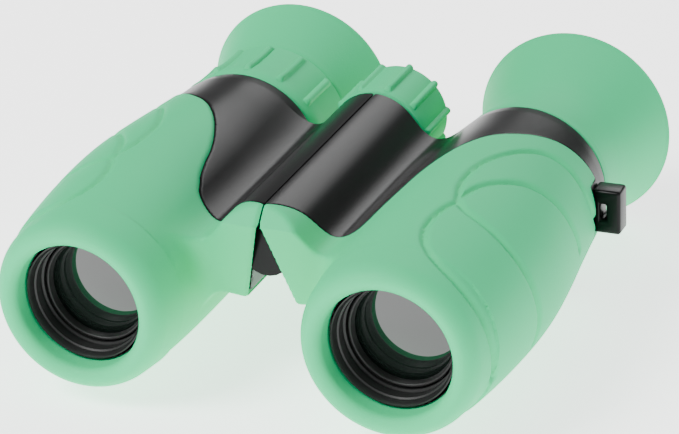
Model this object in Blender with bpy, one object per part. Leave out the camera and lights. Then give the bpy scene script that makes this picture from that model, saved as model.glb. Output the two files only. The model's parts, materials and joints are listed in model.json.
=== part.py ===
"""Compact roof-prism binoculars, 21 mm objectives: centre hinge, centre focus wheel and dioptre ring.

Row frame: X across the two barrels, Y from the objectives to the eyepieces, Z up, origin at the middle of
the bounding box. Lengths below are in millimetres; MM turns them into metres. "depth" is measured back from
the front lips of the objective openings. side is +1 for the barrel at +X (the user's left eye) and -1 for
the barrel at -X.
"""

import bisect
import functools
import math

import bmesh
import bpy
import numpy as np
from mathutils import Vector

MM = 0.001
LENGTH = 102.4  # front lips to eyecup rims
BARREL_X = 29.0  # half the distance between the eyes
HINGE_Z = 7.0
RIDGE_R = 9.3  # round crest of the bridge, about the hinge axis
BRIDGE_FRONT = 15.2
BARREL_END = 73.3
ARMOUR_T, GAP = 0.95, 0.5
COVER_INSET = 0.25
LIP_R = 11.8  # opening in the armour
BORE_R = 11.6
BARE_REACH = 0.6  # share of the spine that lies inside the barrel itself
KNUCKLE_R, SHAFT_R = 5.0, 2.4
SEAM = 0.15  # half the gap where the two halves meet
V_TOP, V_SLOPE = 13.8, math.tan(math.radians(15))
CUP_R, CUP_BASE_R, CUP_BASE = 19.4, 15.1, 73.7
BARREL_PROFILE = ((0, 15.9), (6, 16.6), (14, 17.4), (24, 18.0), (36, 18.2), (48, 17.7), (58, 17.0),
                  (66, 16.4), (76, 15.8))  # (depth, radius)
BULGE = ((0, 0.0), (14, 0.6), (36, 1.2), (58, 0.4), (76, 0.0))  # outward shift of the barrel's section
WINDOW = ((18.6, 0), (20, 3), (22, 7), (24.4, 12), (26.5, 15.6), (30, 17.6), (35, 19), (40, 20), (46, 22),
          (52, 25.2), (56, 28.6))  # (depth, x) of the armour's edge beside the black bridge
RING_EDGE = ((56.6, 90), (58, 82), (61, 73), (64.3, 56), (66.2, 35), (68.4, 13), (69, 0))
SEGMENTS = 32


# ---------------------------------------------------------------- the body's outer shape

@functools.cache
def curve(points):
    xs, ys = [p[0] for p in points], [p[1] for p in points]
    return xs, ys, [float(s) for s in np.gradient(ys, xs)]


@functools.lru_cache(maxsize=4096)
def through(points, at):
    """A smooth curve through the points, read at one place."""
    xs, ys, slopes = curve(points)
    at = min(max(at, xs[0]), xs[-1])
    i = min(max(bisect.bisect_left(xs, at) - 1, 0), len(xs) - 2)
    h = xs[i + 1] - xs[i]
    t = (at - xs[i]) / h
    return ((2 * t**3 - 3 * t**2 + 1) * ys[i] + (t**3 - 2 * t**2 + t) * h * slopes[i]
            + (3 * t**2 - 2 * t**3) * ys[i + 1] + (t**3 - t**2) * h * slopes[i + 1])


def blend_min(a, b, k):
    """Lesser of two distances, with a fillet of about k between the shapes."""
    h = min(max(0.5 + 0.5 * (b - a) / k, 0.0), 1.0)
    return b * (1 - h) + a * h - k * h * (1 - h)


def blend_max(a, b, k):
    return -blend_min(-a, -b, k)


def body_distance(x, depth, z):
    """Signed distance, about, to one half of the body: a bulging barrel joined to the bridge."""
    barrel = math.hypot(x - BARREL_X - through(BULGE, depth), z) - through(BARREL_PROFILE, depth)
    crest = math.hypot(x, z - HINGE_Z) - RIDGE_R
    web = max(z - 8.3, x - BARREL_X)
    bridge = blend_min(crest, web, 5.0)
    bridge = blend_max(bridge, -3.8 - z + 0.12 * x, 1.0)
    lean = 0.24 * max(13 - z, 0) + 0.9 * max(z - 13, 0)
    bridge = blend_max(bridge, BRIDGE_FRONT + lean - depth, 1.0)
    return blend_min(barrel, bridge, 4.0)


def seam_x(z):
    """Where the hinge side of a half is cut: upright at the top, and a V below that lets the halves
    fold."""
    return SEAM + max(V_TOP - z, 0) * V_SLOPE


def spine(t):
    """Point at share t of the way from the barrel's axis to the hinge."""
    return BARREL_X - 24.0 * t, 4.5 * t


def reach(depth):
    """How much of the bridge there is at this depth, from 0 for the bare barrel to 1 for all of it."""
    t = BARE_REACH
    while t < 1.0:
        x, z = spine(t + 0.05)
        if body_distance(x, depth, z) > -0.9:
            break
        t += 0.05
    return min(max((t - BARE_REACH) / (1 - BARE_REACH), 0.0), 1.0)


SEAM_ANGLES = (90, 100, 105, 108, 112.3, 124, 155, 205, 250)


def rays(count):
    """Places round the section as (share along the spine, angle with the bridge, angle without it)."""
    made = []
    around, over, end = int(count * 0.56), int(count * 0.12), len(SEAM_ANGLES)
    for i in range(around):  # round the outside of the barrel, from the bottom to the top
        a = -118 + 236 * i / around
        made.append((0.0, a, a))
    for i in range(over):  # along the top of the bridge
        s = i / over
        made.append((0.35 + 0.65 * s, 105 - 15 * s, 118 + 40 * s))
    for a in SEAM_ANGLES:  # down the hinge side, close together at the crest's corner
        s = (a - 90) / 180
        made.append((1.0, a, 158 + 44 * s))
    under = count - around - over - end
    for i in range(under):  # back along the underside
        s = i / under
        made.append((1.0 - 0.65 * s, 270 - 15 * s, 202 + 40 * s))
    return made


def surface_point(ray, depth, extent, inset, past_seam):
    """Where one ray leaves the body, moved in by inset, as (x, z) of the +X half. The cut at the hinge
    side isn't moved in; past_seam moves it out instead."""
    share, with_bridge, without = ray
    x0, z0 = spine(share * extent)
    angle = math.radians(without + (with_bridge - without) * extent)
    dx, dz = math.cos(angle), math.sin(angle)
    low, high = 0.0, 36.0

    def outside(r):
        x, z = x0 + dx * r, z0 + dz * r
        return max(body_distance(x, depth, z) + inset, seam_x(z) - past_seam - x) > 0

    step = 0.5
    while low + step < high and not outside(low + step):
        low += step
    high = low + step
    for _ in range(14):
        middle = (low + high) / 2
        low, high = (low, middle) if outside(middle) else (middle, high)
    return x0 + dx * low, z0 + dz * low


def body_sections(depths, count, inset, past_seam):
    return [[surface_point(ray, d, reach(d), inset, past_seam) for ray in rays(count)] for d in depths]


# ---------------------------------------------------------------- making objects

def place(x, depth, z):
    return Vector((x * MM, (depth - LENGTH / 2) * MM, z * MM))


def material(name, colour, roughness, metallic=0.0):
    made = bpy.data.materials.get(name)
    if made is None:
        made = bpy.data.materials.new(name)
        made.use_nodes = True
        shader = made.node_tree.nodes["Principled BSDF"]
        shader.inputs["Base Color"].default_value = (*colour, 1)
        shader.inputs["Roughness"].default_value = roughness
        shader.inputs["Metallic"].default_value = metallic
    return made


def finish_object(name, bm, look):
    bmesh.ops.remove_doubles(bm, verts=bm.verts, dist=1e-6)
    bmesh.ops.recalc_face_normals(bm, faces=bm.faces)
    mesh = bpy.data.meshes.new(name)
    bm.to_mesh(mesh)
    bm.free()
    mesh.shade_smooth()
    mesh.set_sharp_from_angle(angle=math.radians(35))
    made = bpy.data.objects.new(name, mesh)
    bpy.context.scene.collection.objects.link(made)
    mesh.materials.append(material(*look))
    return made


def turned(name, side_x, profile, look, z=0.0, segments=SEGMENTS, ribs=None):
    """A solid turned about an axis along Y through (side_x, z), from a closed loop of (depth, radius).
    Two neighbouring points with radius 0 close the ends. ribs is (count, height) and raises ribs along
    the sides."""
    bm = bmesh.new()
    rings = []
    for depth, r in profile:
        if r == 0:
            rings.append(None)
            continue
        ring = []
        for i in range(segments):
            a = 2 * math.pi * (i + 0.3) / segments
            on_rib = ribs and (depth, r) in ribs[2] and (i * ribs[0] // (segments // 2)) % 2 == 0
            raised = ribs[1] if on_rib else 0.0
            here = r + raised
            ring.append(bm.verts.new(place(side_x + here * math.cos(a), depth, z + here * math.sin(a))))
        rings.append(ring)
    for a, b in zip(rings, rings[1:] + rings[:1]):
        if a and b:
            for i in range(segments):
                j = (i + 1) % segments
                bm.faces.new((a[i], a[j], b[j], b[i]))
        elif a or b:
            bm.faces.new(a or b)
    return finish_object(name, bm, look)


def tube(name, x, z, depths, radii, look, segments=SEGMENTS):
    """A plain tube, or a rod where the inner radius is 0."""
    (d0, d1), (r_in, r_out) = depths, radii
    return turned(name, x, [(d0, r_in), (d0, r_out), (d1, r_out), (d1, r_in)], look, z, segments)


def lens(name, x, depths, r, crown, look):
    """A round lens with domed faces; crown is how far (front, back) bulge."""
    (d0, d1), (front, back) = depths, crown
    profile = [(d0 - front, 0), (d0 - front, r * 0.35), (d0 - front * 0.5, r * 0.72), (d0, r),
               (d1, r), (d1 + back * 0.5, r * 0.72), (d1 + back, r * 0.35), (d1 + back, 0)]
    return turned(name, x, profile, look, segments=14)


def prism(name, side, outline, half_width, look):
    """A prism whose (depth, z) outline is carried across X, centred on one barrel."""
    bm = bmesh.new()
    near = [bm.verts.new(place(side * (BARREL_X - half_width), d, z)) for d, z in outline]
    far = [bm.verts.new(place(side * (BARREL_X + half_width), d, z)) for d, z in outline]
    for i in range(len(outline)):
        j = (i + 1) % len(outline)
        bm.faces.new((near[i], near[j], far[j], far[i]))
    bm.faces.new(near)
    bm.faces.new(far)
    return finish_object(name, bm, look)


def arm_bar(name, side, reach_x, half, depths, look):
    """A flat bar from beside the hinge axis out to the barrel's bore, sloping down along ARM_SLOPE."""
    bm = bmesh.new()
    corners = []
    for depth in depths:
        ring = []
        for x, up in ((reach_x[0], -half), (reach_x[1], -half), (reach_x[1], half), (reach_x[0], half)):
            ring.append(bm.verts.new(place(side * x, depth, HINGE_Z - ARM_SLOPE * x + up)))
        corners.append(ring)
    near, far = corners
    for i in range(4):
        j = (i + 1) % 4
        bm.faces.new((near[i], near[j], far[j], far[i]))
    bm.faces.new(near)
    bm.faces.new(far)
    return finish_object(name, bm, look)


def block(name, low, high, look, chamfer=0.0):
    """A box between two corners given as (x, depth, z)."""
    bm = bmesh.new()
    bmesh.ops.create_cube(bm, size=1.0)
    a, b = place(*low), place(*high)
    for v in bm.verts:
        v.co = Vector([(a[k] + b[k]) / 2 + v.co[k] * abs(b[k] - a[k]) for k in range(3)])
    if chamfer:
        bmesh.ops.bevel(bm, geom=bm.edges[:], offset=chamfer * MM, segments=1, affect="EDGES",
                        clamp_overlap=True)
    return finish_object(name, bm, look)


def skin(name, side, depths, count, inset, look, lip=(), past_seam=0.0):
    """A closed solid from the body's sections, capped at both ends. lip adds (depth, radius) rings in
    front."""
    bm = bmesh.new()
    ray_list = rays(count)
    rings = []
    for depth, r in lip:
        rings.append([(BARREL_X + r * math.cos(math.radians(w)), depth, r * math.sin(math.radians(w)))
                      for _, _, w in ray_list])
    for depth, section in zip(depths, body_sections(depths, count, inset, past_seam)):
        rings.append([(x, depth, z) for x, z in section])
    made = [[bm.verts.new(place(side * x, d, z)) for x, d, z in ring] for ring in rings]
    for a, b in zip(made, made[1:]):
        for i in range(count):
            j = (i + 1) % count
            bm.faces.new((a[i], a[j], b[j], b[i]))
    bm.faces.new(made[0])
    bm.faces.new(made[-1])
    bmesh.ops.triangulate(bm, faces=bm.faces)
    return finish_object(name, bm, look)


def combine(target, tool, operation):
    """Applies a Boolean at once and removes the tool."""
    modifier = target.modifiers.new("combine", "BOOLEAN")
    modifier.operation = operation
    modifier.solver = "EXACT"
    modifier.object = tool
    graph = bpy.context.evaluated_depsgraph_get()
    mesh = bpy.data.meshes.new_from_object(target.evaluated_get(graph))
    target.modifiers.clear()
    target.data = mesh
    bpy.data.objects.remove(tool)


GREEN = ("green_rubber", (0.155, 0.62, 0.36), 0.55)
BLACK = ("black_plastic", (0.02, 0.02, 0.022), 0.38)
DARK = ("matt_black", (0.012, 0.012, 0.013), 0.7)
GLASS = ("coated_glass", (0.75, 0.85, 0.82), 0.05)
STEEL = ("plated_steel", (0.6, 0.6, 0.62), 0.3, 1.0)
BRASS = ("brass", (0.7, 0.5, 0.2), 0.35, 1.0)

BODY_DEPTHS = (4, 9, 14, 15.9, 17.2, 18.3, 19.6, 22, 30, 40, 50, 60, 69.9)
OUTER_DEPTHS = tuple(depth - 0.11 for depth in BODY_DEPTHS)  # keeps outer and inner sections out of one plane
BODY_COUNT = 38
KNUCKLES = {1: ((19.5, 24.2), (55.6, 61.2)), -1: ((25.6, 31.0), (49.0, 54.2))}  # each half's hinge knuckles
ARM_SLOPE = 5.0 / 18.4
SLOT = (34.6, 45.4)  # depths of the slot that the focusing arm travels in
EYE_DEPTHS = {1: (37.3, 39.7), -1: (40.3, 42.7)}  # depths of each arm's eye, round the focus nut
LUG_DEPTHS, LUG_X, LUG_Z = (64.0, 68.4), (42.0, 50.0), (-4.0, 4.6)
LUG_SLOT_X, LUG_SLOT_Z = (46.1, 47.3), (-1.2, 1.8)


# ---------------------------------------------------------------- the shells

def window_cutter(side, inwards=0.0):
    """The volume above the black bridge, outside which the armour stays. inwards narrows it on every
    side."""
    bm = bmesh.new()
    last = BARREL_X + 2.2 - inwards
    edge = [(x - inwards, depth + inwards) for depth, x in WINDOW]
    behind = [(last, 58.6 + inwards), (last, 80.0), (-4.0, 80.0)]
    outline = [(-4.0, WINDOW[0][0] - 0.8 + inwards)] + edge + behind
    low = [bm.verts.new(place(side * x, depth, 3.0)) for x, depth in outline]
    high = [bm.verts.new(place(side * x, depth, 30.0)) for x, depth in outline]
    for i in range(len(outline)):
        j = (i + 1) % len(outline)
        bm.faces.new((low[i], low[j], high[j], high[i]))
    bm.faces.new(low)
    bm.faces.new(high)
    return finish_object("window_cutter", bm, DARK)


def ring_cutter(side):
    """A sleeve behind the armour's rear edge, whose front follows RING_EDGE over the top of the
    barrel."""
    bm = bmesh.new()
    count = 32
    loops = [[], [], [], []]
    by_angle = tuple(sorted((a, d) for d, a in RING_EDGE))
    for i in range(count):
        a = 360 * i / count - 90
        depth = 69.0 if a < 0 or a > 180 else through(by_angle, a) if a <= 90 else 57.4
        c, s = math.cos(math.radians(a)), math.sin(math.radians(a))
        for loop, d, r in zip(loops, (depth, depth, 90.0, 90.0), (8.0, 34.0, 34.0, 8.0)):
            loop.append(bm.verts.new(place(side * (BARREL_X + r * c), d, r * s)))
    for a, b in zip(loops, loops[1:] + loops[:1]):
        for i in range(count):
            j = (i + 1) % count
            bm.faces.new((a[i], a[j], b[j], b[i]))
    bmesh.ops.triangulate(bm, faces=bm.faces)
    return finish_object("ring_cutter", bm, DARK)


def rubber_armour(side, name):
    """The soft green sleeve: the body's outer shape, less the housing under it and the window over the
    bridge."""
    lip = ((1.9, 12.6), (0.5, 13.3), (0.0, 14.2), (0.6, 15.3), (1.9, 15.9))
    made = skin(name, side, OUTER_DEPTHS, BODY_COUNT, 0.0, GREEN, lip)
    inner_lip = ((2.6, 12.6), (2.9, 14.6))
    inside = skin("inside", side, BODY_DEPTHS + (74.0,), BODY_COUNT, ARMOUR_T, DARK, inner_lip, 0.8)
    combine(made, inside, "DIFFERENCE")
    combine(made, tube("bore", side * BARREL_X, 0, (-5.0, 8.0), (0, LIP_R + 0.2), DARK), "DIFFERENCE")
    combine(made, window_cutter(side), "DIFFERENCE")
    combine(made, ring_cutter(side), "DIFFERENCE")
    around_hinge = tube("around_hinge", 0, HINGE_Z, (5.0, 80.0), (0, KNUCKLE_R + 0.6), DARK, 24)
    combine(made, around_hinge, "DIFFERENCE")
    notch = block("notch", (side * 40.0, 63.2, -4.8), (side * 60.0, 80.0, 5.4), DARK)
    combine(made, notch, "DIFFERENCE")
    return made


def bridge_cover(side, name):
    """The glossy black shell over the bridge, inside the armour's window."""
    made = skin(name, side, OUTER_DEPTHS[1:], BODY_COUNT, COVER_INSET, BLACK)
    under = skin("under", side, BODY_DEPTHS + (74.0,), BODY_COUNT, ARMOUR_T + GAP - 0.35, DARK, (), 0.8)
    combine(made, under, "DIFFERENCE")
    combine(made, window_cutter(side, 0.4), "INTERSECT")
    return made


def barrel_housing(side, name):
    """The black barrel casting with its half of the bridge and its hinge knuckles."""
    made = skin(name, side, BODY_DEPTHS, BODY_COUNT, ARMOUR_T + GAP, BLACK, ((3.4, 13.4),))
    combine(made, tube("ring", side * BARREL_X, 0, (69.3, BARREL_END), (0, 14.5), BLACK), "UNION")
    combine(made, tube("clear", 0, HINGE_Z, (5.0, 80.0), (0, KNUCKLE_R + 0.35), DARK, 24), "DIFFERENCE")
    for d0, d1 in KNUCKLES[side]:
        combine(made, tube("knuckle", 0, HINGE_Z, (d0, d1), (0, KNUCKLE_R), BLACK, 24), "UNION")
        low, high = (side * 3.0, d0 + 0.2, HINGE_Z - 2.4), (side * 7.0, d1 - 0.2, HINGE_Z + 2.4)
        neck = block("neck", low, high, BLACK)
        combine(made, neck, "UNION")
    combine(made, tube("pin_bore", 0, HINGE_Z, (0.0, 90.0), (0, SHAFT_R + 0.3), DARK, 16), "DIFFERENCE")
    combine(made, tube("barrel_bore", side * BARREL_X, 0, (-5.0, 90.0), (0, BORE_R), DARK), "DIFFERENCE")
    combine(made, arm_bar("slot", side, (4.0, 20.0), 1.5, SLOT, DARK), "DIFFERENCE")
    return made


def strap_lug(side, name):
    """A chamfered block hugging the barrel's outer side, with a slot for the strap running front to
    back."""
    low, high = ((side * LUG_X[k], LUG_DEPTHS[k], LUG_Z[k]) for k in (0, 1))
    made = block(name, low, high, BLACK, 1.2)
    combine(made, tube("barrel", side * BARREL_X, 0, (50.0, 90.0), (0, 15.9), DARK), "DIFFERENCE")
    slot_low, slot_high = ((side * LUG_SLOT_X[k], (50.0, 90.0)[k], LUG_SLOT_Z[k]) for k in (0, 1))
    slot = block("strap_slot", slot_low, slot_high, DARK)
    combine(made, slot, "DIFFERENCE")
    return made


# ---------------------------------------------------------------- optics and focusing

def objective(side, hand):
    x = side * BARREL_X
    cell = [(3.8, 10.6), (3.8, 11.2), (22.0, 11.2), (22.0, 9.2), (16.2, 9.2), (16.2, 10.4), (5.0, 10.4)]
    turned(f"{hand}_objective_cell", x, cell, DARK, segments=24)
    tube(f"{hand}_objective_retainer", x, 0, (6.6, 9.4), (9.2, 10.0), DARK, 16)
    lens(f"{hand}_objective_crown_lens", x, (10.9, 12.6), 10.0, (1.1, 0.0), GLASS)
    lens(f"{hand}_objective_flint_lens", x, (13.0, 14.8), 10.0, (0.0, 0.7), GLASS)


def focus_arm(side, hand):
    """Carries the objective cell: an eye round the focus nut, a bar through the slot and a rod along
    the bore."""
    d0, d1 = EYE_DEPTHS[side]
    made = tube(f"{hand}_focus_arm", 0, HINGE_Z, (d0, d1), (0, 4.8), STEEL, 20)
    combine(made, arm_bar("bar", side, (3.5, 18.6), 0.8, (d0 + 0.1, d1 - 0.1), STEEL), "UNION")
    rod = block("rod", (side * 17.9, 22.3, 1.1), (side * 18.9, d1 - 0.1, 3.1), STEEL)
    combine(made, rod, "UNION")
    combine(made, tube("nut_hole", 0, HINGE_Z, (30.0, 50.0), (0, 2.9), DARK, 20), "DIFFERENCE")


def prisms(side, hand):
    """A Schmidt-Pechan pair, a half-penta prism in front of a roof prism, in a tubular holder."""
    x = side * BARREL_X
    holder = [(26.0, 8.6), (26.0, 9.4), (53.6, 9.4), (53.6, 11.2), (56.0, 11.2), (56.0, 8.6)]
    turned(f"{hand}_prism_holder", x, holder, DARK, segments=16)
    prism(f"{hand}_front_prism", side, ((28, -5.5), (38, -5.5), (32.5, 6.0), (28, 6.0)), 4.8, GLASS)
    roof = ((38.6, -5.5), (50, -5.5), (50, 2.4), (44, 6.0), (33.1, 6.0))
    prism(f"{hand}_roof_prism", side, roof, 4.8, GLASS)


def eyepiece(side, hand):
    x = side * BARREL_X
    tube_wall = [(57.0, 9.7), (57.0, 11.2), (83.4, 11.2), (83.4, 9.7)]
    turned(f"{hand}_ocular_tube", x, tube_wall, DARK, segments=24)
    tube(f"{hand}_field_stop", x, 0, (61.0, 62.0), (5.0, 9.3), DARK, 16)
    lens(f"{hand}_field_lens", x, (66.0, 69.0), 9.3, (1.2, 0.0), GLASS)
    lens(f"{hand}_eye_lens", x, (76.6, 79.4), 9.3, (0.0, 1.0), GLASS)
    tube(f"{hand}_eye_lens_retainer", x, 0, (80.9, 82.9), (7.6, 9.3), DARK, 16)


def eyecup(side, hand):
    """A soft cup: a base lip, a narrow neck and a flare that opens like a trumpet. The right one is in
    two pieces, a ribbed dioptre ring and the cup behind it."""
    x = side * BARREL_X
    base = [(CUP_BASE, CUP_BASE_R), (75.6, CUP_BASE_R), (77.0, 14.6)]
    neck = [(81.0, 14.3), (85.0, 14.4)]
    rim = [(101.8, CUP_R), (LENGTH, CUP_R - 0.5), (LENGTH, CUP_R - 1.4)]
    flare = [(91.0, 15.6), (96.5, 17.4), (100.6, 18.9)] + rim
    hollow = [(97.0, 16.3), (90.0, 14.2), (85.0, 13.0)]
    if side > 0:
        whole = [(CUP_BASE, 12.0)] + base + neck + flare + hollow + [(80.0, 12.0)]
        turned(f"{hand}_eyecup", x, whole, GREEN, segments=28)
        return
    ring = [(CUP_BASE, 11.9)] + base + [(77.6, 14.4), (87.6, 14.4), (88.0, 14.0), (88.0, 11.9)]
    turned("dioptre_ring", x, ring, GREEN, segments=36, ribs=(6, 0.7, ((77.6, 14.4), (87.6, 14.4))))
    cup = [(88.3, 13.7), (88.3, 15.0)] + flare + hollow[:2]
    turned(f"{hand}_eyecup", x, cup, GREEN, segments=28)


def hinge():
    """Two pins on one line: a solid one in front, and a hollow one behind that the focus screw passes
    through."""
    tube("hinge_front_cap", 0, HINGE_Z, (18.1, 19.2), (0, 4.6), BLACK, 20)
    tube("front_hinge_pin", 0, HINGE_Z, (19.6, 31.4), (0, SHAFT_R), STEEL, 16)
    tube("front_hinge_washer", 0, HINGE_Z, (24.5, 25.3), (SHAFT_R + 0.3, 4.6), BRASS, 20)
    tube("rear_hinge_sleeve", 0, HINGE_Z, (48.6, 61.6), (1.7, SHAFT_R), STEEL, 16)
    tube("rear_hinge_washer", 0, HINGE_Z, (54.5, 55.3), (SHAFT_R + 0.3, 4.6), BRASS, 20)
    tube("hinge_rear_collar", 0, HINGE_Z, (61.9, 64.4), (1.7, 4.6), BLACK, 20)


def focus_wheel():
    screw = [(33.0, 0), (33.0, 1.4), (73.0, 1.4), (73.0, 0)]
    turned("focus_screw", 0, screw, STEEL, HINGE_Z, 12)
    nut = [(36.0, 1.7), (36.0, 4.6), (37.0, 4.6), (37.0, 2.6), (43.0, 2.6), (43.0, 4.6), (44.0, 4.6)]
    nut = nut + [(44.0, 1.7)]
    turned("focus_nut", 0, nut, BRASS, HINGE_Z, 20)
    sides = ((72.4, 9.3), (83.0, 9.3))
    knob = [(70.8, 5.3), (70.8, 9.4), (71.4, 9.9), (72.0, 9.9), *sides, (83.8, 8.7), (83.8, 5.3)]
    turned("focus_knob", 0, knob, GREEN, HINGE_Z, 36, ribs=(9, 0.7, sides))
    hub = [(70.8, 1.7), (70.8, 5.0), (83.2, 5.0), (83.2, 3.5), (73.4, 3.5), (73.4, 1.7)]
    turned("focus_knob_hub", 0, hub, BLACK, HINGE_Z, 20)
    tube("focus_knob_screw", 0, HINGE_Z, (73.7, 75.6), (0, 3.1), STEEL, 12)


def main():
    for old in list(bpy.data.objects):
        bpy.data.objects.remove(old)
    for side, hand in ((1, "left"), (-1, "right")):
        barrel_housing(side, f"{hand}_barrel_housing")
        rubber_armour(side, f"{hand}_rubber_armour")
        bridge_cover(side, f"{hand}_bridge_cover")
        strap_lug(side, f"{hand}_strap_lug")
        objective(side, hand)
        focus_arm(side, hand)
        prisms(side, hand)
        eyepiece(side, hand)
        eyecup(side, hand)
    hinge()
    focus_wheel()


main()
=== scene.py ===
"""Looks of the compact binoculars: fine armour, bridge covers, eyecups, wheel and optics on the CAD frame.

Lengths in the shape section are millimetres in the frame's own directions. "depth" is measured back from the
front lips, and MM turns millimetres into the frame's metres. side is +1 for the barrel at +X and -1 at -X.
"""

import math

import bmesh
import bpy
import numpy as np
from mathutils import Matrix, Vector
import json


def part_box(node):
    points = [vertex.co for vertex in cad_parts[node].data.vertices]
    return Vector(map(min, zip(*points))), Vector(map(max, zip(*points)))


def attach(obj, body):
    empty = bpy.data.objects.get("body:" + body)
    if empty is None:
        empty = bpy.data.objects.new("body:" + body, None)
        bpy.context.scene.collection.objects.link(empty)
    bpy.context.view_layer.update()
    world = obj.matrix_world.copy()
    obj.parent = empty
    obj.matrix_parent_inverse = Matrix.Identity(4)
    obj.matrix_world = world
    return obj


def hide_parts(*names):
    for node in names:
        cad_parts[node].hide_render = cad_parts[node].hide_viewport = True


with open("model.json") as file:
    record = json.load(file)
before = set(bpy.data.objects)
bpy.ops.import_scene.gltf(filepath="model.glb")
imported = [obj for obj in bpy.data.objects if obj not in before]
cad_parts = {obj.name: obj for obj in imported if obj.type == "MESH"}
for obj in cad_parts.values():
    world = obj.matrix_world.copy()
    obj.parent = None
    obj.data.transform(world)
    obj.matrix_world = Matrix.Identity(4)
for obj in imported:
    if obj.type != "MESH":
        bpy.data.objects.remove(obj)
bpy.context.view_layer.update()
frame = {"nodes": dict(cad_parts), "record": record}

MM = 0.001
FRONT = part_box("left_rubber_armour")[0][1]  # y of the front lips
BARREL_X = sum(corner[0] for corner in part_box("left_eyecup")) / 2 / MM
HINGE_Z = sum(corner[2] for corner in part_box("front_hinge_pin")) / 2 / MM
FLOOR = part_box("left_eyecup")[0][2]

RIDGE_R = 9.3
BRIDGE_FRONT, BRIDGE_REAR = 15.2, 70.0
BARREL_PROFILE = ((0, 15.9), (6, 16.6), (14, 17.4), (24, 18.0), (36, 18.2), (48, 17.7), (58, 17.0),
                  (66, 16.4), (76, 15.8))  # (depth, radius)
BULGE = ((0, 0.0), (14, 0.6), (36, 1.2), (58, 0.4), (76, 0.0))  # outward shift of the barrel's section
WEB_TOP = 8.3  # the web between crest and barrel
UNDERSIDE, UNDERSIDE_SLOPE = -3.8, 0.12
LEAN_LOW, LEAN_HIGH, LEAN_CHANGE_Z = 0.24, 0.9, 13  # the bridge's front leans back, more near its top
CREST_BLEND, UNDERSIDE_BLEND, FRONT_BLEND, BARREL_BLEND = 5.0, 1.0, 0.8, 4.0
SEAM = 0.15  # half the gap where the two halves meet
KNUCKLES = {1: ((19.5, 24.2), (55.6, 61.2)), -1: ((25.6, 31.0), (49.0, 54.2))}  # depths, for each side
KNUCKLE_R, KNUCKLE_CLEARANCE_R, PIN_BORE_R = 5.0, 5.35, 2.7
CASTING_INSET = 1.15  # casting's surface below the armour's
CASTING_FRONT, CASTING_REAR, CASTING_BORE_R = 5.0, 69.7, 11.7
V_TOP, V_SLOPE = 13.8, math.tan(math.radians(15))
LIP_REACH = 3.6  # how far back the rounded front lip runs on its outside
LIP_TURN = 1.7  # and on its inside
LIP_CREST_R = 13.7
LIP_ZONE = 9.0  # the body is a plain lip in front of this depth
MOUTH_DEPTH, MOUTH_R = 7.0, 12.8
OPENING_R = 11.85
SKIN = 0.85  # depth of the rubber's visible edge
BLACK_INSET = 0.3
COVER_REACH, COVER_SINK, COVER_BOTTOM = 1.4, 0.7, 4.0  # the cover dips under the armour's edge
WINDOW = ((18.6, 0), (20, 3), (22, 7), (24.4, 12), (26.5, 15.6), (30, 17.6), (35, 19), (40, 20), (46, 22),
          (52, 25.2), (56, 28.6), (58.5, 32), (61, 35), (64, 39), (66, 42.5), (68, 46))
RING_EDGE = ((0, 69), (13, 68.4), (35, 66.2), (56, 64.3), (73, 61), (82, 58), (90, 56.6))
GROOVES = (  # (degrees round the barrel from its outer side, depth)
    ((-20, 8.9), (8, 7), (28, 6.5), (42, 6.3), (63, 7.5), (77, 10.8), (83, 16), (82, 21.5), (77, 26.2)),
    ((77.5, 26.2), (68, 23.9), (47, 22.7), (31, 22.7), (13, 23.5), (-7, 25), (-24, 25.8)),
    ((77, 28.3), (73, 32.9), (64, 37.7), (52, 41.8), (36, 44.5), (18, 46.4), (0, 48.5)),
    ((78, 26.8), (83, 33.3), (82, 41.5), (73, 49.2), (60, 55.1), (44, 57.9), (23, 58.9), (3, 61.2),
     (-10, 64.9)),
)
GROOVE_DEPTH, GROOVE_WIDTH = 0.7, 0.6
GROOVE_R = 18.6  # barrel radius that turns degrees into millimetres
STRAP_SLOT_X, STRAP_SLOT_Z, STRAP_SLOT_WIDTH, STRAP_SLOT_HEIGHT = 46.7, 0.3, 1.2, 3.0
LUG_INNER_X, LUG_ROUNDING = 44.7, 1.3
LENS_R = 10.0
ROUNDING = 0.9  # soft edge of the armour
STEP = 0.38
CASTING_STEP = 0.6
RIBBED_SEGMENTS = 480
SHARP_ANGLE = math.radians(40)
ARMOUR_BOX = ((-1.5, -1.0, -20.5), (49.5, 71.0, 20.5))  # where each surface is looked for
COVER_BOX = ((-1.5, 14.0, 3.0), (49.5, 73.0, 20.5))
CASTING_BOX = ((-6.0, 3.0, -20.5), (49.5, 71.0, 20.5))


# ---------------------------------------------------------------- shape of the body

def through(points, at):
    """A smooth curve through the points, read at an array of places."""
    xs, ys = np.array(points, float).T
    slopes = np.gradient(ys, xs)
    at = np.clip(at, xs[0], xs[-1])
    i = np.clip(np.searchsorted(xs, at) - 1, 0, len(xs) - 2)
    h = xs[i + 1] - xs[i]
    t = (at - xs[i]) / h
    return ((2 * t**3 - 3 * t**2 + 1) * ys[i] + (t**3 - 2 * t**2 + t) * h * slopes[i]
            + (3 * t**2 - 2 * t**3) * ys[i + 1] + (t**3 - t**2) * h * slopes[i + 1])


def blend_min(a, b, k):
    h = np.clip(0.5 + 0.5 * (b - a) / k, 0.0, 1.0)
    return b * (1 - h) + a * h - k * h * (1 - h)


def blend_max(a, b, k):
    return -blend_min(-a, -b, k)


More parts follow.
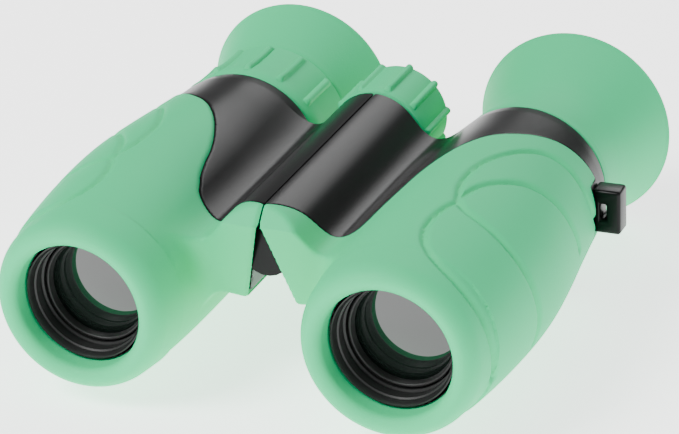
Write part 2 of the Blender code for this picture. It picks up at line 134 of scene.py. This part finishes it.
def body_distance(x, depth, z):
    """Signed distance, about, to one half of the body: a bulging barrel joined to the bridge."""
    barrel = np.hypot(x - BARREL_X - through(BULGE, depth), z) - through(BARREL_PROFILE, depth)
    crest = np.hypot(x, z - HINGE_Z) - RIDGE_R
    web = np.maximum(z - WEB_TOP, x - BARREL_X)
    bridge = blend_min(crest, web, CREST_BLEND)
    bridge = blend_max(bridge, UNDERSIDE - z + UNDERSIDE_SLOPE * x, UNDERSIDE_BLEND)
    lean = LEAN_LOW * np.maximum(LEAN_CHANGE_Z - z, 0) + LEAN_HIGH * np.maximum(z - LEAN_CHANGE_Z, 0)
    bridge = blend_max(bridge, BRIDGE_FRONT + lean - depth, FRONT_BLEND)
    return blend_min(barrel, bridge, BARREL_BLEND)


def seam_x(z):
    return SEAM + np.maximum(V_TOP - z, 0) * V_SLOPE


def armour_distance(x, depth, z):
    """The armour's outer surface: the body, with a rounded front lip that turns into the barrel's mouth."""
    r = np.hypot(x - BARREL_X, z)
    outer = through(BARREL_PROFILE, depth) - LIP_CREST_R
    front = np.maximum(LIP_REACH - depth, 0) / LIP_REACH
    outside = (np.hypot(front, np.maximum(r - LIP_CREST_R, 0) / outer) - 1) * outer
    turn = np.maximum(LIP_TURN - depth, 0) / LIP_TURN
    wall = LIP_CREST_R - OPENING_R
    inside = (np.hypot(turn, np.maximum(LIP_CREST_R - r, 0) / wall) - 1) * wall
    lip = np.where(r > LIP_CREST_R, outside, inside)
    return np.where(depth < LIP_ZONE, lip, body_distance(x, depth, z))


def cover_distance(x, depth, z):
    return body_distance(x, depth, z) + BLACK_INSET


def gradient(distance, p):
    """How the distance changes along x, depth and z, measured over a small step."""
    e = 0.02
    columns = []
    for axis in range(3):
        shift = np.zeros(3)
        shift[axis] = e
        columns.append((distance(*(p + shift).T) - distance(*(p - shift).T)) / (2 * e))
    return np.stack(columns, axis=-1)


def surface_net(distance, low, high, step):
    """Points and quads of the surface where the distance is zero: one point in each grid cell it crosses."""
    axes = [np.arange(a, b + step, step) for a, b in zip(low, high)]
    inside = distance(*np.meshgrid(*axes, indexing="ij")) < 0
    nx, ny, nz = (len(a) - 1 for a in axes)
    cell_corners = [(i, j, k) for i in (0, 1) for j in (0, 1) for k in (0, 1)]
    total = sum(inside[i:i + nx, j:j + ny, k:k + nz].astype(int) for i, j, k in cell_corners)
    active = (total > 0) & (total < 8)
    number = np.full(active.shape, -1)
    number[active] = np.arange(active.sum())
    p = np.array(low) + (np.argwhere(active) + 0.5) * step
    for _ in range(7):
        g = gradient(distance, p)
        d = distance(*p.T)
        move = g * (d / np.maximum(np.sum(g * g, axis=-1), 0.05))[:, None]
        length = np.linalg.norm(move, axis=-1, keepdims=True)
        p -= move * np.minimum(1, 0.5 * step / np.maximum(length, 1e-9))
    quads = []
    for axis in range(3):
        ahead = np.roll(inside, -1, axis=axis)
        crossing = inside != ahead
        u, v = (axis + 1) % 3, (axis + 2) % 3
        where = np.argwhere(crossing)
        limit = np.array([nx, ny, nz])
        where = where[np.all((where >= (np.arange(3) != axis)) & (where < limit), axis=1)]
        du, dv = np.eye(3, dtype=int)[u], np.eye(3, dtype=int)[v]
        around = ((1, 1), (0, 1), (0, 0), (1, 0))
        corners = np.stack([number[tuple((where - a * du - b * dv).T)] for a, b in around], axis=-1)
        forward = inside[tuple(where.T)]
        corners[~forward] = corners[~forward][:, ::-1]
        quads.append(corners[np.all(corners >= 0, axis=1)])
    return p, np.concatenate(quads)


def armour_mask(x, depth, z):
    """Distance, about, from the armour's edge: positive on the armour, negative on the black parts."""
    edge = np.where(depth < WINDOW[0][0], -9.0, through(WINDOW, depth))
    slope = (through(WINDOW, depth + 0.2) - through(WINDOW, depth - 0.2)) / 0.4
    beside = (x - edge) / np.sqrt(1 + slope**2)
    before = WINDOW[0][0] - 0.6 * x - depth
    beside = np.maximum(beside, np.where(x < 4, before, -9.0))
    beside = np.maximum(beside, 3.0 - z)
    around = np.degrees(np.arctan2(z, x - BARREL_X))
    ring = np.where((around < 0) | (around > 170), 69.0, through(RING_EDGE, np.clip(around, 0, 90)))
    behind = ring - depth
    notch = np.maximum(np.maximum(63.2 - depth, np.abs(z - 0.3) - 5.1), 40.0 - x)
    return np.minimum(np.minimum(beside, behind), notch)


def groove_drop(x, depth, z):
    """How far the moulded lines lower the armour's surface."""
    around = np.degrees(np.arctan2(z, x - BARREL_X))
    u = np.radians(around) * GROOVE_R
    nearest = np.full_like(x, 99.0)
    for groove in GROOVES:
        steps = np.arange(len(groove))
        fine = np.linspace(0, len(groove) - 1, 46)
        gu = np.radians(through(tuple(zip(steps, [p[0] for p in groove])), fine)) * GROOVE_R
        gf = through(tuple(zip(steps, [p[1] for p in groove])), fine)
        for k in range(len(fine) - 1):
            ax, ay = gu[k], gf[k]
            bx, by = gu[k + 1], gf[k + 1]
            along = (u - ax) * (bx - ax) + (depth - ay) * (by - ay)
            t = np.clip(along / ((bx - ax)**2 + (by - ay)**2), 0, 1)
            nearest = np.minimum(nearest, np.hypot(u - ax - t * (bx - ax), depth - ay - t * (by - ay)))
    return GROOVE_DEPTH * np.exp(-(nearest / GROOVE_WIDTH)**2)


# ---------------------------------------------------------------- making objects

def place(x, depth, z):
    return Vector((x * MM, FRONT + depth * MM, z * MM))


def link(name, mesh, look, body, nodes):
    """Puts a mesh in the scene as a piece that rides on a body and replaces the CAD nodes named."""
    mesh.shade_smooth()
    mesh.set_sharp_from_angle(angle=SHARP_ANGLE)
    made = bpy.data.objects.new(name, mesh)
    bpy.context.scene.collection.objects.link(made)
    mesh.materials.clear()
    mesh.materials.append(look)
    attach(made, body)
    if nodes:
        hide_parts(*nodes)
    return made


def to_mesh(name, bm, outward=True):
    if outward:
        bmesh.ops.recalc_face_normals(bm, faces=bm.faces)
    mesh = bpy.data.meshes.new(name)
    bm.to_mesh(mesh)
    bm.free()
    return mesh


def turned(name, x, z, profile, segments=96, bump=None):
    """A turned mesh from a closed loop of (depth, radius). bump(angle, depth, radius) moves the radius."""
    bm = bmesh.new()
    rings = []
    for depth, r in profile:
        ring = []
        for i in range(segments):
            a = 2 * math.pi * i / segments
            here = max(r, 0.01) + (bump(a, depth, r) if bump else 0.0)
            ring.append(bm.verts.new(place(x + here * math.cos(a), depth, z + here * math.sin(a))))
        rings.append(ring)
    for a, b in zip(rings, rings[1:] + rings[:1]):
        for i in range(segments):
            j = (i + 1) % segments
            bm.faces.new((a[i], a[j], b[j], b[i]))
    return to_mesh(name, bm)


def rounded(points, radius, steps=5):
    """A closed outline with each corner turned into a small curve."""
    made = []
    n = len(points)
    for k in range(n):
        p = np.array(points[k], float)
        before, after = np.array(points[k - 1], float) - p, np.array(points[(k + 1) % n], float) - p
        la, lb = np.linalg.norm(before), np.linalg.norm(after)
        cut = min(radius, la * 0.45, lb * 0.45)
        a, b = p + before / la * cut, p + after / lb * cut
        for t in np.linspace(0, 1, steps):
            made.append(tuple((1 - t)**2 * a + 2 * t * (1 - t) * p + t**2 * b))
    return made


def curve_profile(points, count):
    """Points along a smooth curve of (depth, radius)."""
    depths = np.linspace(points[0][0], points[-1][0], count)
    return [(d, float(through(points, np.array([d]))[0])) for d in depths]


def clipped_mesh(name, side, points, quads, mask):
    """The quads where the mask is positive, cut at its zero line, with an edge turned down by SKIN."""
    bm = bmesh.new()
    keep = mask > 0
    shown = points * np.array([side, 1, 1])
    verts, cuts = {}, {}

    def corner(i):
        if i not in verts:
            verts[i] = bm.verts.new(place(*shown[i]))
        return verts[i]

    def cut(a, b):
        key = (min(a, b), max(a, b))
        if key not in cuts:
            t = mask[key[0]] / (mask[key[0]] - mask[key[1]])
            cuts[key] = bm.verts.new(place(*(shown[key[0]] * (1 - t) + shown[key[1]] * t)))
        return cuts[key]

    for quad in quads[keep[quads].any(axis=1)].tolist():
        loop = []
        for here, after in zip(quad, quad[1:] + quad[:1]):
            if keep[here]:
                loop.append(corner(here))
            if keep[here] != keep[after]:
                loop.append(cut(here, after))
        if side < 0:
            loop.reverse()
        if len(loop) >= 3:
            bm.faces.new(loop)
    bm.normal_update()
    rim = [e for e in bm.edges if len(e.link_faces) == 1]
    lift = {tuple(v.co): v.normal.copy() for e in rim for v in e.verts}
    for v in bmesh.ops.extrude_edge_only(bm, edges=rim)["geom"]:
        if isinstance(v, bmesh.types.BMVert):
            v.co -= lift[tuple(v.co)] * SKIN * MM
    return to_mesh(name, bm, False)


def rubber_armour(side, hand, look):
    """The soft sleeve with its grooves, open over the bridge and at the barrel's mouth."""
    points, quads = surface_net(armour_distance, *ARMOUR_BOX, STEP)
    x, depth, z = points.T
    edge = np.minimum(armour_mask(x, depth, z), x - seam_x(z))
    mouth = np.maximum(np.hypot(x - BARREL_X, z) - MOUTH_R, MOUTH_DEPTH - depth)
    mask = np.minimum(edge, mouth)
    rim = ROUNDING - np.clip(edge, 0, ROUNDING)
    drop = 0.6 * (ROUNDING - np.sqrt(ROUNDING**2 - rim**2))
    drop += np.where((x > BARREL_X - 8) & (depth > 5), groove_drop(x, depth, z), 0.0)
    normal = gradient(armour_distance, points)
    normal /= np.maximum(np.linalg.norm(normal, axis=-1, keepdims=True), 1e-6)
    mesh = clipped_mesh(f"{hand}_armour_skin", side, points - normal * drop[:, None], quads, mask)
    replaced = [f"{hand}_rubber_armour"]
    return link(f"{hand}_armour_skin", mesh, look, f"{hand}_barrel", replaced)


def bridge_shell(side, hand, look):
    """The black cover over the bridge, a little lower than the armour and running under its edge."""
    points, quads = surface_net(cover_distance, *COVER_BOX, STEP)
    x, depth, z = points.T
    mask = np.minimum(COVER_REACH - armour_mask(x, depth, z), x - seam_x(z))
    mask = np.minimum(np.minimum(mask, BRIDGE_REAR - depth), z - COVER_BOTTOM)
    sink = COVER_SINK * np.clip((armour_mask(x, depth, z) + 0.05) / 0.5, 0, 1)
    normal = gradient(cover_distance, points)
    points = points - normal * sink[:, None]
    mesh = clipped_mesh(f"{hand}_bridge_shell", side, points, quads, mask)
    replaced = [f"{hand}_bridge_cover"]
    return link(f"{hand}_bridge_shell", mesh, look, f"{hand}_barrel", replaced)


def housing_distance(side):
    """The barrel casting under the armour, with its bore, the hinge's clearance and its knuckles."""
    def distance(x, depth, z):
        casting = np.maximum(body_distance(x, depth, z) + CASTING_INSET, seam_x(z) - x)
        casting = np.maximum(casting, np.maximum(depth - CASTING_REAR, CASTING_FRONT - depth))
        casting = np.maximum(casting, CASTING_BORE_R - np.hypot(x - BARREL_X, z))
        from_hinge = np.hypot(x, z - HINGE_Z)
        casting = np.maximum(casting, KNUCKLE_CLEARANCE_R - from_hinge)
        for start, end in KNUCKLES[side]:
            beyond_ends = np.abs(depth - (start + end) / 2) - (end - start) / 2
            knuckle = np.maximum(from_hinge - KNUCKLE_R, beyond_ends)
            casting = np.minimum(casting, np.maximum(knuckle, PIN_BORE_R - from_hinge))
        return casting
    return distance


def barrel_casting(side, hand, look):
    points, quads = surface_net(housing_distance(side), *CASTING_BOX, CASTING_STEP)
    mesh = clipped_mesh(f"{hand}_casting", side, points, quads, np.ones(len(points)))
    replaced = [f"{hand}_barrel_housing"]
    return link(f"{hand}_casting", mesh, look, f"{hand}_barrel", replaced)


def ring_shell(side, hand, look):
    outer = rounded([(55.0, 15.2), (69.0, 15.75), (73.2, 15.45), (73.2, 12.1), (55.0, 12.1)], 0.6)
    mesh = turned(f"{hand}_rear_ring", side * BARREL_X, 0.0, outer)
    return link(f"{hand}_rear_ring", mesh, look, f"{hand}_barrel", [])


# ---------------------------------------------------------------- eyepieces, wheel, lugs and optics

def ribs(count, height, start, end, width, turn=0.0):
    """Thin raised bars along the sides, rounded across and at both ends. width is in millimetres."""
    def bump(angle, depth, radius):
        phase = ((angle + turn) * count / (2 * math.pi)) % 1.0
        across = abs(phase - 0.5) * 2 * math.pi * radius / count / (width / 2)
        along = min(max(min(depth - start, end - depth) / 0.8, 0.0), 1.0)
        return height * math.sqrt(max(1 - across**2, 0.0)) * math.sqrt(along * (2 - along))
    return bump


CUP_CURVE = ((84.0, 14.35), (87.5, 14.9), (91.0, 15.8), (95.0, 17.0), (99.0, 18.3), (101.0, 19.0))


def cup_profile(start):
    """Outer flare, rounded rim and hollow of an eyecup that starts at this depth."""
    flare = [p for p in curve_profile(CUP_CURVE, 26) if p[0] > start]
    turns = np.linspace(0.2, math.pi - 0.2, 12)
    rim = [(101.0 + 1.4 * math.sin(t), 18.1 + 1.15 * math.cos(t)) for t in turns]
    hollow = curve_profile(((84.0, 12.6), (89.0, 13.5), (94.0, 14.9), (98.0, 16.1), (100.6, 16.95)), 20)[::-1]
    return flare + rim + [p for p in hollow if p[0] > start]


def left_eyecup(look):
    base = rounded([(73.8, 15.15), (75.9, 15.2), (76.3, 14.5)], 0.3)[5:]
    neck = [(78.0, 14.4), (81.0, 14.25), (84.0, 14.35)]
    profile = [(73.8, 12.1), (73.8, 14.9), (74.0, 15.15)] + base + neck + cup_profile(84.2) + [(80.0, 12.2)]
    mesh = turned("left_cup", BARREL_X, 0.0, profile, 160)
    return link("left_cup", mesh, look, "left_barrel", ["left_eyecup"])


def dioptre_ring(look):
    outer = curve_profile(((74.1, 15.0), (75.0, 15.25), (80.0, 15.15), (84.0, 15.1), (88.0, 15.25)), 60)
    profile = [(73.8, 12.1), (73.8, 14.8)] + outer + [(88.05, 15.1), (88.05, 12.1)]
    raised = ribs(14, 0.7, 75.8, 87.4, 1.5)
    mesh = turned("ribbed_dioptre_ring", -BARREL_X, 0.0, profile, RIBBED_SEGMENTS, raised)
    return link("ribbed_dioptre_ring", mesh, look, "dioptre", ["dioptre_ring"])


def right_eyecup(look):
    profile = [(88.15, 14.0), (88.15, 15.1), (88.3, 15.25)] + cup_profile(89.4)
    mesh = turned("right_cup", -BARREL_X, 0.0, profile, 160)
    return link("right_cup", mesh, look, "dioptre", ["right_eyecup"])


def focus_knob(look):
    depths = np.linspace(72.2, 83.6, 50)
    outer = [(70.9, 8.7), (71.1, 9.0), (71.9, 9.15)] + [(d, 9.2) for d in depths] + [(83.9, 8.9), (84.0, 8.5)]
    profile = [(70.9, 5.4)] + outer + [(84.0, 6.2), (83.4, 5.4)]
    raised = ribs(10, 0.8, 72.0, 84.6, 1.4, 0.2)
    mesh = turned("ribbed_focus_knob", 0.0, HINGE_Z, profile, RIBBED_SEGMENTS, raised)
    return link("ribbed_focus_knob", mesh, look, "focus_wheel", ["focus_knob"])


def strap_lug(side, hand, look):
    """A rounded block on the barrel's outer side, as large as the CAD lug, with a slot for the strap."""
    low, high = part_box(f"{hand}_strap_lug")
    bm = bmesh.new()
    bmesh.ops.create_cube(bm, size=1.0)
    inner = side * LUG_INNER_X * MM
    outer = high[0] if side > 0 else low[0]
    for v in bm.verts:
        across = outer if v.co.x * side > 0 else inner
        v.co = Vector((across, low[1] if v.co.y < 0 else high[1], low[2] if v.co.z < 0 else high[2]))
    mesh = to_mesh(f"{hand}_lug_block", bm)
    made = link(f"{hand}_lug_block", mesh, look, f"{hand}_barrel", [f"{hand}_strap_lug"])
    cutter = bmesh.new()
    bmesh.ops.create_cube(cutter, size=1.0)
    for v in cutter.verts:
        across = side * STRAP_SLOT_X + v.co.x * STRAP_SLOT_WIDTH
        up = STRAP_SLOT_Z + v.co.z * STRAP_SLOT_HEIGHT
        v.co = Vector((across * MM, v.co.y * 0.2, up * MM))
    slot_mesh = to_mesh("slot_cutter", cutter)
    slot_cutter = bpy.data.objects.new("slot_cutter", slot_mesh)
    bpy.context.scene.collection.objects.link(slot_cutter)
    boolean = made.modifiers.new("slot", "BOOLEAN")
    boolean.operation = "DIFFERENCE"
    boolean.object = slot_cutter
    bevel = made.modifiers.new("round", "BEVEL")
    bevel.width = LUG_ROUNDING * MM
    bevel.segments = 4
    graph = bpy.context.evaluated_depsgraph_get()
    result = bpy.data.meshes.new_from_object(made.evaluated_get(graph))
    made.modifiers.clear()
    made.data = result
    result.shade_smooth()
    result.set_sharp_from_angle(angle=SHARP_ANGLE)
    bpy.data.objects.remove(slot_cutter)
    return made


def objective_optics(side, hand, black, glass, back_glass):
    """The stepped cell, its retaining ring and two lenses."""
    x = side * BARREL_X
    body = f"{hand}_objective"
    steps = [(3.9, 11.25), (3.9, 11.0), (4.4, 10.7), (5.4, 10.65), (5.6, 10.35), (7.0, 10.3), (7.2, 10.6),
             (8.0, 10.6), (8.2, 10.2), (9.9, 10.15), (10.0, 10.35), (16.2, 10.35), (16.2, 9.25),
             (22.0, 9.25), (22.0, 11.25)]
    cell = turned(f"{hand}_stepped_cell", x, 0.0, steps, 128)
    link(f"{hand}_stepped_cell", cell, black, body, [f"{hand}_objective_cell"])
    ring = rounded([(8.4, 9.35), (8.4, 9.95), (9.8, 9.95), (9.8, 9.05)], 0.25)
    retainer = turned(f"{hand}_retaining_ring", x, 0.0, ring, 128)
    link(f"{hand}_retaining_ring", retainer, black, body, [f"{hand}_objective_retainer"])
    dome = [(10.9 - 1.2 * (1 - (r / LENS_R)**2), r) for r in np.linspace(0, LENS_R, 18)]
    front = turned(f"{hand}_front_lens", x, 0.0, dome + [(12.6, LENS_R), (12.6, 0.0)], 96)
    link(f"{hand}_front_lens", front, glass, body, [f"{hand}_objective_crown_lens"])
    hollow = [(13.2 + 0.9 * (1 - (r / LENS_R)**2), r) for r in np.linspace(0, LENS_R, 14)]
    second = turned(f"{hand}_second_lens", x, 0.0, hollow + [(14.9, LENS_R), (15.4, 0.0)], 96)
    link(f"{hand}_second_lens", second, back_glass, body, [f"{hand}_objective_flint_lens"])


# ---------------------------------------------------------------- materials

def principled(name, colour, roughness, metallic=0.0):
    made = bpy.data.materials.new(name)
    made.use_nodes = True
    shader = made.node_tree.nodes["Principled BSDF"]
    shader.inputs["Base Color"].default_value = (*colour, 1)
    shader.inputs["Roughness"].default_value = roughness
    shader.inputs["Metallic"].default_value = metallic
    return made, shader


def moulded(name, colour, roughness, grain_mm, bump, spread=0.06, metallic=0.0, specular=0.35):
    """A moulded or machined surface: fine grain in the bump, slow drift in colour and roughness."""
    made, shader = principled(name, colour, roughness, metallic)
    nodes, links = made.node_tree.nodes, made.node_tree.links
    where = nodes.new("ShaderNodeTexCoord")
    grain = nodes.new("ShaderNodeTexNoise")
    grain.inputs["Scale"].default_value = 1 / (grain_mm * MM)
    grain.inputs["Detail"].default_value = 3
    links.new(where.outputs["Object"], grain.inputs["Vector"])
    lift = nodes.new("ShaderNodeBump")
    lift.inputs["Strength"].default_value = bump
    lift.inputs["Distance"].default_value = 0.00012
    links.new(grain.outputs["Fac"], lift.inputs["Height"])
    links.new(lift.outputs["Normal"], shader.inputs["Normal"])
    drift = nodes.new("ShaderNodeTexNoise")
    drift.inputs["Scale"].default_value = 60
    links.new(where.outputs["Object"], drift.inputs["Vector"])
    tint = nodes.new("ShaderNodeMix")
    tint.data_type = "RGBA"
    tint.inputs["A"].default_value = (*[c * (1 - spread) for c in colour], 1)
    tint.inputs["B"].default_value = (*[min(c * (1 + spread), 1) for c in colour], 1)
    links.new(drift.outputs["Fac"], tint.inputs["Factor"])
    links.new(tint.outputs["Result"], shader.inputs["Base Color"])
    rough = nodes.new("ShaderNodeMapRange")
    rough.inputs["To Min"].default_value = roughness - 0.05
    rough.inputs["To Max"].default_value = roughness + 0.05
    links.new(grain.outputs["Fac"], rough.inputs["Value"])
    links.new(rough.outputs["Result"], shader.inputs["Roughness"])
    shader.inputs["Specular IOR Level"].default_value = specular
    return made


def coated_glass(name, tint):
    """Dark, polished lens surface with painted shade: its near-black base colour stands for the dark inside
    of the barrel seen through clear glass. Its tint varies slowly, and it doesn't let light through.
    """
    made, shader = principled(name, tint, 0.02)
    nodes, links = made.node_tree.nodes, made.node_tree.links
    shader.inputs["IOR"].default_value = 1.62
    shader.inputs["Coat Weight"].default_value = 0.6
    shader.inputs["Coat Roughness"].default_value = 0.01
    where = nodes.new("ShaderNodeTexCoord")
    drift = nodes.new("ShaderNodeTexNoise")
    drift.inputs["Scale"].default_value = 90
    links.new(where.outputs["Object"], drift.inputs["Vector"])
    mix = nodes.new("ShaderNodeMix")
    mix.data_type = "RGBA"
    mix.inputs["A"].default_value = (*tint, 1)
    mix.inputs["B"].default_value = (tint[0] * 0.93, tint[1], tint[2] * 0.97, 1)
    links.new(drift.outputs["Fac"], mix.inputs["Factor"])
    links.new(mix.outputs["Result"], shader.inputs["Base Color"])
    return made


GREEN = moulded("mint_rubber", (0.012, 0.560, 0.215), 0.6, 0.35, 0.22, 0.03, specular=0.25)
BLACK = moulded("satin_black", (0.003, 0.003, 0.0033), 0.30, 0.25, 0.10, 0.1, specular=0.16)
DARK = moulded("matt_black_cell", (0.012, 0.012, 0.012), 0.42, 0.3, 0.1, 0.1)
# painted shade: both lenses are near-black and opaque, standing for the dark barrel inside seen through the
# glass
FRONT_GLASS_PAINTED_DARK = coated_glass("front_glass_painted_dark", (0.012, 0.018, 0.015))
BACK_GLASS_PAINTED_DARK = coated_glass("second_glass_painted_dark", (0.02, 0.03, 0.025))
STEEL = moulded("plated_steel_finish", (0.55, 0.55, 0.57), 0.32, 0.4, 0.15, 0.05, 1.0)
BRASS = moulded("brass_finish", (0.70, 0.50, 0.22), 0.35, 0.4, 0.15, 0.05, 1.0)
SLOT_LOOKS = {"green_rubber": GREEN, "black_plastic": BLACK, "matt_black": DARK, "coated_glass": FRONT_GLASS_PAINTED_DARK,
              "plated_steel": STEEL, "brass": BRASS}


def dress_cad_nodes():
    """Every CAD node that stays gets the procedural finish of its slot."""
    for part in frame["record"]["subparts"]:
        node = frame["nodes"][part["node"]]
        node = bpy.data.objects[node] if isinstance(node, str) else node
        node.data.materials.clear()
        node.data.materials.append(SLOT_LOOKS[part["material_slot"]])


# ---------------------------------------------------------------- studio and camera

AZIMUTH, ELEVATION, ROLL = (math.radians(a) for a in (23.80, 25.16, -2.99))
CAMERA_AT = (195.0, -391.4, 226.0)  # x, depth, z
FOCAL, SENSOR_WIDTH = 152.90722, 36  # millimetres
FLOOR_GAP = 0.0004  # metres below the eyecups
FLOOR_GLOW, WORLD_LIGHT = 2.0, 0.35


def camera():
    level = math.cos(ELEVATION)
    back = Vector((math.sin(AZIMUTH) * level, -math.cos(AZIMUTH) * level, math.sin(ELEVATION)))
    right = Vector((math.cos(AZIMUTH), math.sin(AZIMUTH), 0))
    up = back.cross(right)
    c, s = math.cos(ROLL), math.sin(ROLL)
    right, up = c * right + s * up, c * up - s * right
    lens = bpy.data.cameras.new("camera")
    lens.sensor_width = SENSOR_WIDTH
    lens.lens = FOCAL
    lens.clip_end = 10
    made = bpy.data.objects.new("camera", lens)
    facing = Matrix((right, up, back)).transposed().to_4x4()
    made.matrix_world = Matrix.Translation(place(*CAMERA_AT)) @ facing
    bpy.context.scene.collection.objects.link(made)
    bpy.context.scene.camera = made


def area_light(name, at, size, power, aim=(0, 0, 0)):
    light = bpy.data.lights.new(name, "AREA")
    light.shape = "RECTANGLE"
    light.size, light.size_y = size
    light.energy = power
    made = bpy.data.objects.new(name, light)
    made.location = at
    made.rotation_euler = (Vector(aim) - Vector(at)).to_track_quat("-Z", "Y").to_euler()
    bpy.context.scene.collection.objects.link(made)


def studio():
    """A pale floor that glows a little, an even surround and three soft lights."""
    bm = bmesh.new()
    for x, y in ((-3, -3), (3, -3), (3, 6), (-3, 6)):
        bm.verts.new((x, y, FLOOR - FLOOR_GAP))
    bm.faces.new(bm.verts[:])
    mesh = bpy.data.meshes.new("floor")
    bm.to_mesh(mesh)
    bm.free()
    floor = bpy.data.objects.new("floor", mesh)
    paper = moulded("white_paper", (0.92, 0.92, 0.92), 0.9, 2.0, 0.02, 0.004)
    glow = paper.node_tree.nodes["Principled BSDF"].inputs
    glow["Emission Color"].default_value = (1, 1, 1, 1)
    glow["Emission Strength"].default_value = FLOOR_GLOW
    mesh.materials.append(paper)
    bpy.context.scene.collection.objects.link(floor)
    world = bpy.data.worlds.new("studio")
    bpy.context.scene.world = world
    world.use_nodes = True
    world.node_tree.nodes["Background"].inputs["Color"].default_value = (1, 1, 1, 1)
    world.node_tree.nodes["Background"].inputs["Strength"].default_value = WORLD_LIGHT
    area_light("key", (-0.45, -0.55, 0.75), (0.45, 0.45), 15.0)
    area_light("fill", (0.7, -0.5, 0.45), (0.5, 0.5), 1.5)
    area_light("back", (0.1, 0.8, 0.6), (0.8, 0.3), 5.0)


def main():
    camera()
    dress_cad_nodes()
    for side, hand in ((1, "left"), (-1, "right")):
        rubber_armour(side, hand, GREEN)
        barrel_casting(side, hand, BLACK)
        bridge_shell(side, hand, BLACK)
        ring_shell(side, hand, BLACK)
        strap_lug(side, hand, BLACK)
        objective_optics(side, hand, DARK, FRONT_GLASS_PAINTED_DARK, BACK_GLASS_PAINTED_DARK)
    left_eyecup(GREEN)
    dioptre_ring(GREEN)
    right_eyecup(GREEN)
    focus_knob(GREEN)
    studio()


main()
